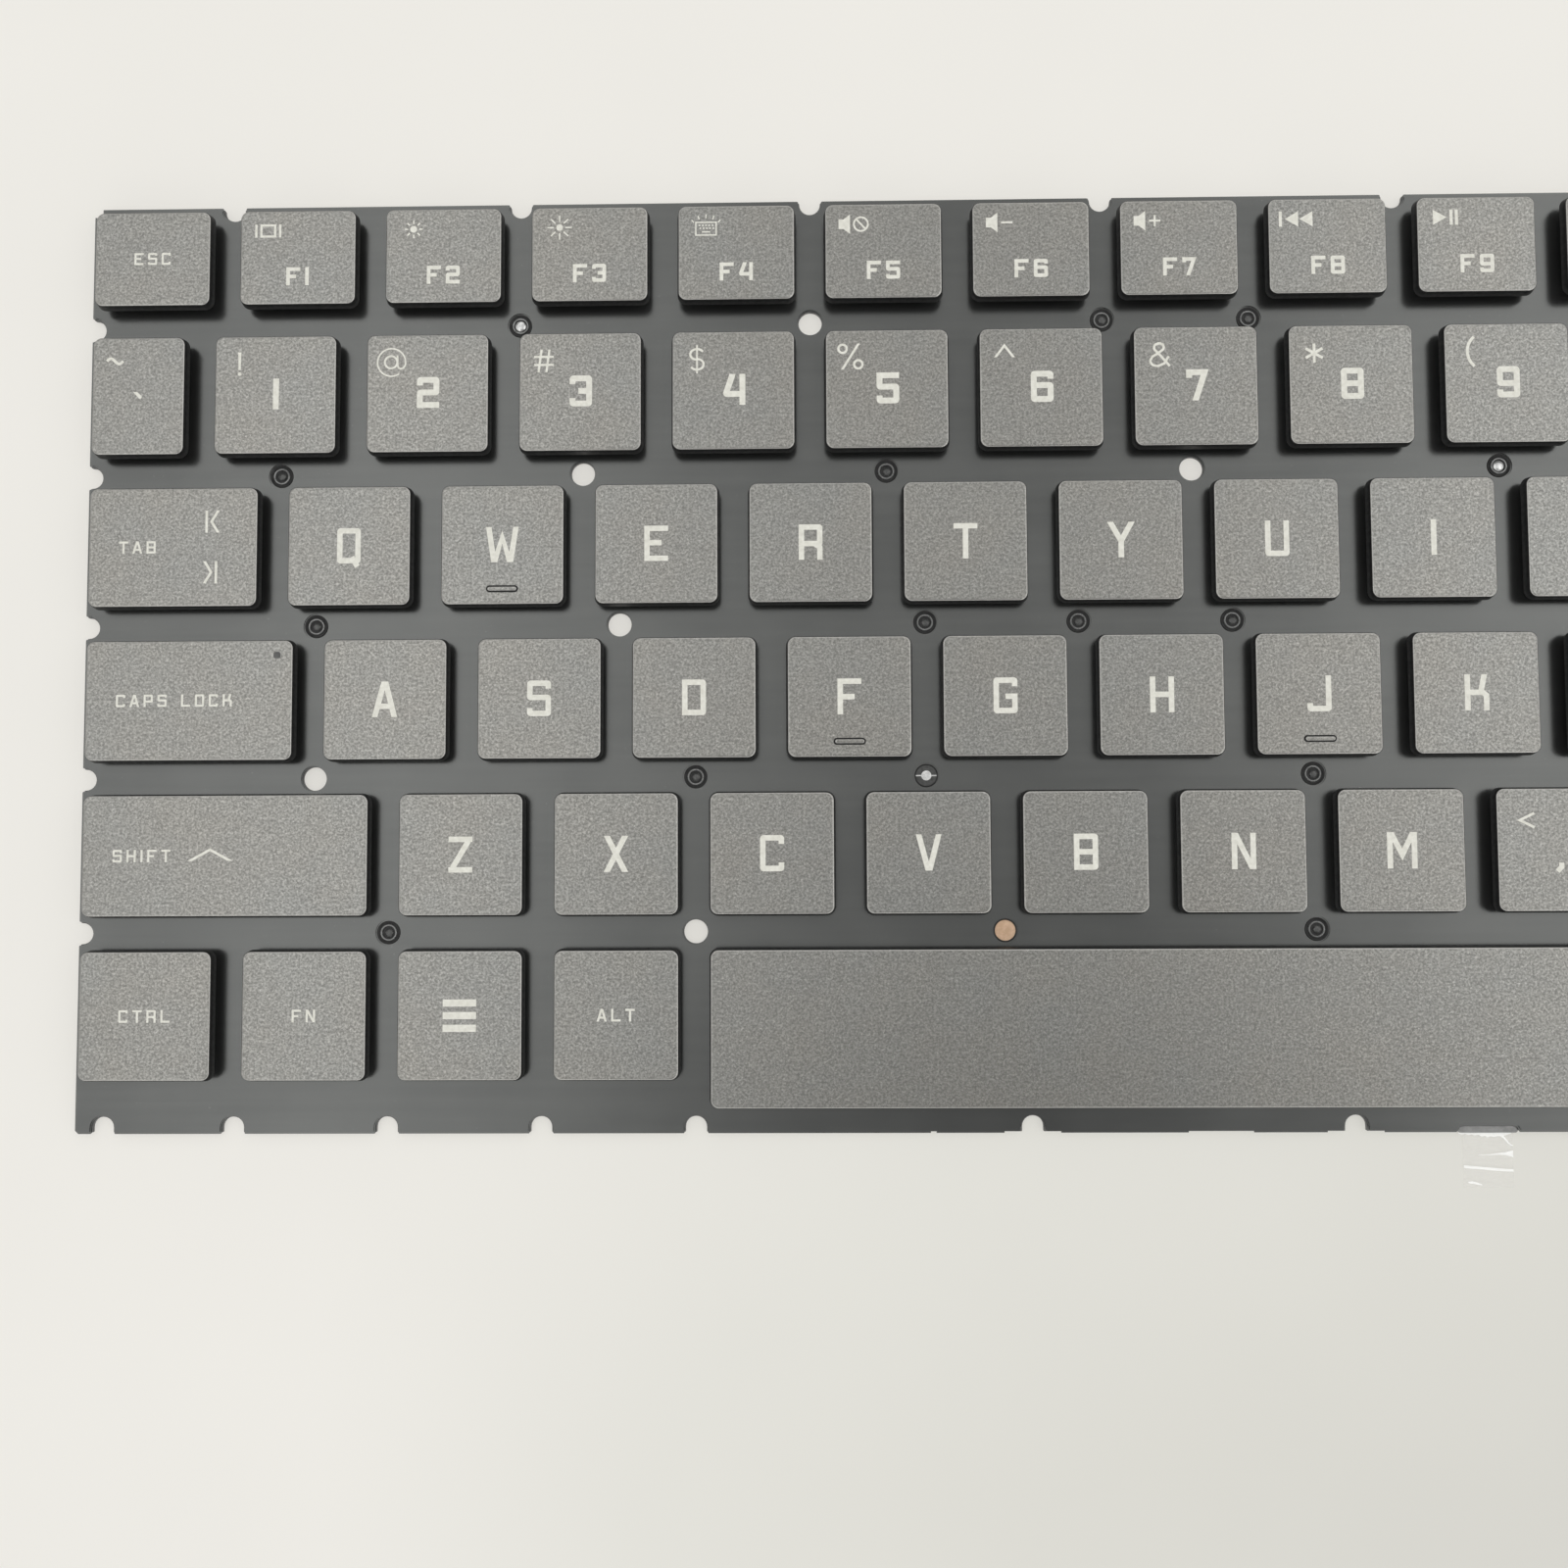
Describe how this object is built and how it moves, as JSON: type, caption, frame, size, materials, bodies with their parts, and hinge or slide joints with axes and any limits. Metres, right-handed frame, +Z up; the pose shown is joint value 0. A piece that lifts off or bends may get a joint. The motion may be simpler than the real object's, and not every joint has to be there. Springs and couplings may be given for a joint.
{
  "type": "laptop replacement keyboard",
  "caption": "Flat laptop keyboard module with scissor-mounted keys over a dark membrane, a metal plate and a backlight film, with screw holes between the rows.",
  "frame": {"origin": "middle of the underside of the keyboard", "axes": "+X to the right along the key rows, +Y to the back (the function row), +Z up out of the key tops"},
  "size_m": [0.269, 0.1213, 0.0043],
  "materials": {
    "keycap": "satin paint with a fine grain",
    "membrane": "smooth dark film",
    "plate": "dark coated sheet",
    "film": "white reflector film",
    "tape": "clear, wrinkled",
    "dome_rubber": "translucent silicone",
    "link": "moulded",
    "bar": "drawn wire"
  },
  "bodies": {
    "chassis": {"base_plate": "plate", "switch_membrane": "membrane", "backlight_sheet": "film", "clear_tape": "tape", "rubber_domes": "dome_rubber", "scissor_outer_links": "link", "scissor_inner_links": "link", "stabiliser_bars": "bar", "right_hand_keys": "keycap"},
    "key_esc": {"key_esc": "keycap"},
    "key_f1": {"key_f1": "keycap"},
    "key_f2": {"key_f2": "keycap"},
    "key_f3": {"key_f3": "keycap"},
    "key_f4": {"key_f4": "keycap"},
    "key_f5": {"key_f5": "keycap"},
    "key_f6": {"key_f6": "keycap"},
    "key_f7": {"key_f7": "keycap"},
    "key_f8": {"key_f8": "keycap"},
    "key_f9": {"key_f9": "keycap"},
    "key_grave": {"key_grave": "keycap"},
    "key_1": {"key_1": "keycap"},
    "key_2": {"key_2": "keycap"},
    "key_3": {"key_3": "keycap"},
    "key_4": {"key_4": "keycap"},
    "key_5": {"key_5": "keycap"},
    "key_6": {"key_6": "keycap"},
    "key_7": {"key_7": "keycap"},
    "key_8": {"key_8": "keycap"},
    "key_9": {"key_9": "keycap"},
    "key_tab": {"key_tab": "keycap"},
    "key_q": {"key_q": "keycap"},
    "key_w": {"key_w": "keycap"},
    "key_e": {"key_e": "keycap"},
    "key_r": {"key_r": "keycap"},
    "key_t": {"key_t": "keycap"},
    "key_y": {"key_y": "keycap"},
    "key_u": {"key_u": "keycap"},
    "key_i": {"key_i": "keycap"},
    "key_caps_lock": {"key_caps_lock": "keycap"},
    "key_a": {"key_a": "keycap"},
    "key_s": {"key_s": "keycap"},
    "key_d": {"key_d": "keycap"},
    "key_f": {"key_f": "keycap"},
    "key_g": {"key_g": "keycap"},
    "key_h": {"key_h": "keycap"},
    "key_j": {"key_j": "keycap"},
    "key_k": {"key_k": "keycap"},
    "key_left_shift": {"key_left_shift": "keycap"},
    "key_z": {"key_z": "keycap"},
    "key_x": {"key_x": "keycap"},
    "key_c": {"key_c": "keycap"},
    "key_v": {"key_v": "keycap"},
    "key_b": {"key_b": "keycap"},
    "key_n": {"key_n": "keycap"},
    "key_m": {"key_m": "keycap"},
    "key_left_ctrl": {"key_left_ctrl": "keycap"},
    "key_fn": {"key_fn": "keycap"},
    "key_start": {"key_start": "keycap"},
    "key_left_alt": {"key_left_alt": "keycap"},
    "key_space": {"key_space": "keycap"}
  },
  "joints": [
    {"name": "press_esc", "type": "slide", "parent": "chassis", "child": "key_esc", "axis": [0, 0, -1], "range_m": [0, 0.0014], "stiffness_N_per_m": 350, "springref_m": -0.0004, "deforming": ["rubber_domes", "scissor_outer_links", "scissor_inner_links"]},
    {"name": "press_f1", "type": "slide", "parent": "chassis", "child": "key_f1", "axis": [0, 0, -1], "range_m": [0, 0.0014], "stiffness_N_per_m": 350, "springref_m": -0.0004, "deforming": ["rubber_domes", "scissor_outer_links", "scissor_inner_links"]},
    {"name": "press_f2", "type": "slide", "parent": "chassis", "child": "key_f2", "axis": [0, 0, -1], "range_m": [0, 0.0014], "stiffness_N_per_m": 350, "springref_m": -0.0004, "deforming": ["rubber_domes", "scissor_outer_links", "scissor_inner_links"]},
    {"name": "press_f3", "type": "slide", "parent": "chassis", "child": "key_f3", "axis": [0, 0, -1], "range_m": [0, 0.0014], "stiffness_N_per_m": 350, "springref_m": -0.0004, "deforming": ["rubber_domes", "scissor_outer_links", "scissor_inner_links"]},
    {"name": "press_f4", "type": "slide", "parent": "chassis", "child": "key_f4", "axis": [0, 0, -1], "range_m": [0, 0.0014], "stiffness_N_per_m": 350, "springref_m": -0.0004, "deforming": ["rubber_domes", "scissor_outer_links", "scissor_inner_links"]},
    {"name": "press_f5", "type": "slide", "parent": "chassis", "child": "key_f5", "axis": [0, 0, -1], "range_m": [0, 0.0014], "stiffness_N_per_m": 350, "springref_m": -0.0004, "deforming": ["rubber_domes", "scissor_outer_links", "scissor_inner_links"]},
    {"name": "press_f6", "type": "slide", "parent": "chassis", "child": "key_f6", "axis": [0, 0, -1], "range_m": [0, 0.0014], "stiffness_N_per_m": 350, "springref_m": -0.0004, "deforming": ["rubber_domes", "scissor_outer_links", "scissor_inner_links"]},
    {"name": "press_f7", "type": "slide", "parent": "chassis", "child": "key_f7", "axis": [0, 0, -1], "range_m": [0, 0.0014], "stiffness_N_per_m": 350, "springref_m": -0.0004, "deforming": ["rubber_domes", "scissor_outer_links", "scissor_inner_links"]},
    {"name": "press_f8", "type": "slide", "parent": "chassis", "child": "key_f8", "axis": [0, 0, -1], "range_m": [0, 0.0014], "stiffness_N_per_m": 350, "springref_m": -0.0004, "deforming": ["rubber_domes", "scissor_outer_links", "scissor_inner_links"]},
    {"name": "press_f9", "type": "slide", "parent": "chassis", "child": "key_f9", "axis": [0, 0, -1], "range_m": [0, 0.0014], "stiffness_N_per_m": 350, "springref_m": -0.0004, "deforming": ["rubber_domes", "scissor_outer_links", "scissor_inner_links"]},
    {"name": "press_grave", "type": "slide", "parent": "chassis", "child": "key_grave", "axis": [0, 0, -1], "range_m": [0, 0.0014], "stiffness_N_per_m": 350, "springref_m": -0.0004, "deforming": ["rubber_domes", "scissor_outer_links", "scissor_inner_links"]},
    {"name": "press_1", "type": "slide", "parent": "chassis", "child": "key_1", "axis": [0, 0, -1], "range_m": [0, 0.0014], "stiffness_N_per_m": 350, "springref_m": -0.0004, "deforming": ["rubber_domes", "scissor_outer_links", "scissor_inner_links"]},
    {"name": "press_2", "type": "slide", "parent": "chassis", "child": "key_2", "axis": [0, 0, -1], "range_m": [0, 0.0014], "stiffness_N_per_m": 350, "springref_m": -0.0004, "deforming": ["rubber_domes", "scissor_outer_links", "scissor_inner_links"]},
    {"name": "press_3", "type": "slide", "parent": "chassis", "child": "key_3", "axis": [0, 0, -1], "range_m": [0, 0.0014], "stiffness_N_per_m": 350, "springref_m": -0.0004, "deforming": ["rubber_domes", "scissor_outer_links", "scissor_inner_links"]},
    {"name": "press_4", "type": "slide", "parent": "chassis", "child": "key_4", "axis": [0, 0, -1], "range_m": [0, 0.0014], "stiffness_N_per_m": 350, "springref_m": -0.0004, "deforming": ["rubber_domes", "scissor_outer_links", "scissor_inner_links"]},
    {"name": "press_5", "type": "slide", "parent": "chassis", "child": "key_5", "axis": [0, 0, -1], "range_m": [0, 0.0014], "stiffness_N_per_m": 350, "springref_m": -0.0004, "deforming": ["rubber_domes", "scissor_outer_links", "scissor_inner_links"]},
    {"name": "press_6", "type": "slide", "parent": "chassis", "child": "key_6", "axis": [0, 0, -1], "range_m": [0, 0.0014], "stiffness_N_per_m": 350, "springref_m": -0.0004, "deforming": ["rubber_domes", "scissor_outer_links", "scissor_inner_links"]},
    {"name": "press_7", "type": "slide", "parent": "chassis", "child": "key_7", "axis": [0, 0, -1], "range_m": [0, 0.0014], "stiffness_N_per_m": 350, "springref_m": -0.0004, "deforming": ["rubber_domes", "scissor_outer_links", "scissor_inner_links"]},
    {"name": "press_8", "type": "slide", "parent": "chassis", "child": "key_8", "axis": [0, 0, -1], "range_m": [0, 0.0014], "stiffness_N_per_m": 350, "springref_m": -0.0004, "deforming": ["rubber_domes", "scissor_outer_links", "scissor_inner_links"]},
    {"name": "press_9", "type": "slide", "parent": "chassis", "child": "key_9", "axis": [0, 0, -1], "range_m": [0, 0.0014], "stiffness_N_per_m": 350, "springref_m": -0.0004, "deforming": ["rubber_domes", "scissor_outer_links", "scissor_inner_links"]},
    {"name": "press_tab", "type": "slide", "parent": "chassis", "child": "key_tab", "axis": [0, 0, -1], "range_m": [0, 0.0014], "stiffness_N_per_m": 350, "springref_m": -0.0004, "deforming": ["rubber_domes", "scissor_outer_links", "scissor_inner_links"]},
    {"name": "press_q", "type": "slide", "parent": "chassis", "child": "key_q", "axis": [0, 0, -1], "range_m": [0, 0.0014], "stiffness_N_per_m": 350, "springref_m": -0.0004, "deforming": ["rubber_domes", "scissor_outer_links", "scissor_inner_links"]},
    {"name": "press_w", "type": "slide", "parent": "chassis", "child": "key_w", "axis": [0, 0, -1], "range_m": [0, 0.0014], "stiffness_N_per_m": 350, "springref_m": -0.0004, "deforming": ["rubber_domes", "scissor_outer_links", "scissor_inner_links"]},
    {"name": "press_e", "type": "slide", "parent": "chassis", "child": "key_e", "axis": [0, 0, -1], "range_m": [0, 0.0014], "stiffness_N_per_m": 350, "springref_m": -0.0004, "deforming": ["rubber_domes", "scissor_outer_links", "scissor_inner_links"]},
    {"name": "press_r", "type": "slide", "parent": "chassis", "child": "key_r", "axis": [0, 0, -1], "range_m": [0, 0.0014], "stiffness_N_per_m": 350, "springref_m": -0.0004, "deforming": ["rubber_domes", "scissor_outer_links", "scissor_inner_links"]},
    {"name": "press_t", "type": "slide", "parent": "chassis", "child": "key_t", "axis": [0, 0, -1], "range_m": [0, 0.0014], "stiffness_N_per_m": 350, "springref_m": -0.0004, "deforming": ["rubber_domes", "scissor_outer_links", "scissor_inner_links"]},
    {"name": "press_y", "type": "slide", "parent": "chassis", "child": "key_y", "axis": [0, 0, -1], "range_m": [0, 0.0014], "stiffness_N_per_m": 350, "springref_m": -0.0004, "deforming": ["rubber_domes", "scissor_outer_links", "scissor_inner_links"]},
    {"name": "press_u", "type": "slide", "parent": "chassis", "child": "key_u", "axis": [0, 0, -1], "range_m": [0, 0.0014], "stiffness_N_per_m": 350, "springref_m": -0.0004, "deforming": ["rubber_domes", "scissor_outer_links", "scissor_inner_links"]},
    {"name": "press_i", "type": "slide", "parent": "chassis", "child": "key_i", "axis": [0, 0, -1], "range_m": [0, 0.0014], "stiffness_N_per_m": 350, "springref_m": -0.0004, "deforming": ["rubber_domes", "scissor_outer_links", "scissor_inner_links"]},
    {"name": "press_caps_lock", "type": "slide", "parent": "chassis", "child": "key_caps_lock", "axis": [0, 0, -1], "range_m": [0, 0.0014], "stiffness_N_per_m": 350, "springref_m": -0.0004, "deforming": ["rubber_domes", "scissor_outer_links", "scissor_inner_links"]},
    {"name": "press_a", "type": "slide", "parent": "chassis", "child": "key_a", "axis": [0, 0, -1], "range_m": [0, 0.0014], "stiffness_N_per_m": 350, "springref_m": -0.0004, "deforming": ["rubber_domes", "scissor_outer_links", "scissor_inner_links"]},
    {"name": "press_s", "type": "slide", "parent": "chassis", "child": "key_s", "axis": [0, 0, -1], "range_m": [0, 0.0014], "stiffness_N_per_m": 350, "springref_m": -0.0004, "deforming": ["rubber_domes", "scissor_outer_links", "scissor_inner_links"]},
    {"name": "press_d", "type": "slide", "parent": "chassis", "child": "key_d", "axis": [0, 0, -1], "range_m": [0, 0.0014], "stiffness_N_per_m": 350, "springref_m": -0.0004, "deforming": ["rubber_domes", "scissor_outer_links", "scissor_inner_links"]},
    {"name": "press_f", "type": "slide", "parent": "chassis", "child": "key_f", "axis": [0, 0, -1], "range_m": [0, 0.0014], "stiffness_N_per_m": 350, "springref_m": -0.0004, "deforming": ["rubber_domes", "scissor_outer_links", "scissor_inner_links"]},
    {"name": "press_g", "type": "slide", "parent": "chassis", "child": "key_g", "axis": [0, 0, -1], "range_m": [0, 0.0014], "stiffness_N_per_m": 350, "springref_m": -0.0004, "deforming": ["rubber_domes", "scissor_outer_links", "scissor_inner_links"]},
    {"name": "press_h", "type": "slide", "parent": "chassis", "child": "key_h", "axis": [0, 0, -1], "range_m": [0, 0.0014], "stiffness_N_per_m": 350, "springref_m": -0.0004, "deforming": ["rubber_domes", "scissor_outer_links", "scissor_inner_links"]},
    {"name": "press_j", "type": "slide", "parent": "chassis", "child": "key_j", "axis": [0, 0, -1], "range_m": [0, 0.0014], "stiffness_N_per_m": 350, "springref_m": -0.0004, "deforming": ["rubber_domes", "scissor_outer_links", "scissor_inner_links"]},
    {"name": "press_k", "type": "slide", "parent": "chassis", "child": "key_k", "axis": [0, 0, -1], "range_m": [0, 0.0014], "stiffness_N_per_m": 350, "springref_m": -0.0004, "deforming": ["rubber_domes", "scissor_outer_links", "scissor_inner_links"]},
    {"name": "press_left_shift", "type": "slide", "parent": "chassis", "child": "key_left_shift", "axis": [0, 0, -1], "range_m": [0, 0.0014], "stiffness_N_per_m": 350, "springref_m": -0.0004, "deforming": ["rubber_domes", "scissor_outer_links", "scissor_inner_links", "stabiliser_bars"]},
    {"name": "press_z", "type": "slide", "parent": "chassis", "child": "key_z", "axis": [0, 0, -1], "range_m": [0, 0.0014], "stiffness_N_per_m": 350, "springref_m": -0.0004, "deforming": ["rubber_domes", "scissor_outer_links", "scissor_inner_links"]},
    {"name": "press_x", "type": "slide", "parent": "chassis", "child": "key_x", "axis": [0, 0, -1], "range_m": [0, 0.0014], "stiffness_N_per_m": 350, "springref_m": -0.0004, "deforming": ["rubber_domes", "scissor_outer_links", "scissor_inner_links"]},
    {"name": "press_c", "type": "slide", "parent": "chassis", "child": "key_c", "axis": [0, 0, -1], "range_m": [0, 0.0014], "stiffness_N_per_m": 350, "springref_m": -0.0004, "deforming": ["rubber_domes", "scissor_outer_links", "scissor_inner_links"]},
    {"name": "press_v", "type": "slide", "parent": "chassis", "child": "key_v", "axis": [0, 0, -1], "range_m": [0, 0.0014], "stiffness_N_per_m": 350, "springref_m": -0.0004, "deforming": ["rubber_domes", "scissor_outer_links", "scissor_inner_links"]},
    {"name": "press_b", "type": "slide", "parent": "chassis", "child": "key_b", "axis": [0, 0, -1], "range_m": [0, 0.0014], "stiffness_N_per_m": 350, "springref_m": -0.0004, "deforming": ["rubber_domes", "scissor_outer_links", "scissor_inner_links"]},
    {"name": "press_n", "type": "slide", "parent": "chassis", "child": "key_n", "axis": [0, 0, -1], "range_m": [0, 0.0014], "stiffness_N_per_m": 350, "springref_m": -0.0004, "deforming": ["rubber_domes", "scissor_outer_links", "scissor_inner_links"]},
    {"name": "press_m", "type": "slide", "parent": "chassis", "child": "key_m", "axis": [0, 0, -1], "range_m": [0, 0.0014], "stiffness_N_per_m": 350, "springref_m": -0.0004, "deforming": ["rubber_domes", "scissor_outer_links", "scissor_inner_links"]},
    {"name": "press_left_ctrl", "type": "slide", "parent": "chassis", "child": "key_left_ctrl", "axis": [0, 0, -1], "range_m": [0, 0.0014], "stiffness_N_per_m": 350, "springref_m": -0.0004, "deforming": ["rubber_domes", "scissor_outer_links", "scissor_inner_links"]},
    {"name": "press_fn", "type": "slide", "parent": "chassis", "child": "key_fn", "axis": [0, 0, -1], "range_m": [0, 0.0014], "stiffness_N_per_m": 350, "springref_m": -0.0004, "deforming": ["rubber_domes", "scissor_outer_links", "scissor_inner_links"]},
    {"name": "press_start", "type": "slide", "parent": "chassis", "child": "key_start", "axis": [0, 0, -1], "range_m": [0, 0.0014], "stiffness_N_per_m": 350, "springref_m": -0.0004, "deforming": ["rubber_domes", "scissor_outer_links", "scissor_inner_links"]},
    {"name": "press_left_alt", "type": "slide", "parent": "chassis", "child": "key_left_alt", "axis": [0, 0, -1], "range_m": [0, 0.0014], "stiffness_N_per_m": 350, "springref_m": -0.0004, "deforming": ["rubber_domes", "scissor_outer_links", "scissor_inner_links"]},
    {"name": "press_space", "type": "slide", "parent": "chassis", "child": "key_space", "axis": [0, 0, -1], "range_m": [0, 0.0014], "stiffness_N_per_m": 350, "springref_m": -0.0004, "deforming": ["rubber_domes", "scissor_outer_links", "scissor_inner_links", "stabiliser_bars"]}
  ]
}
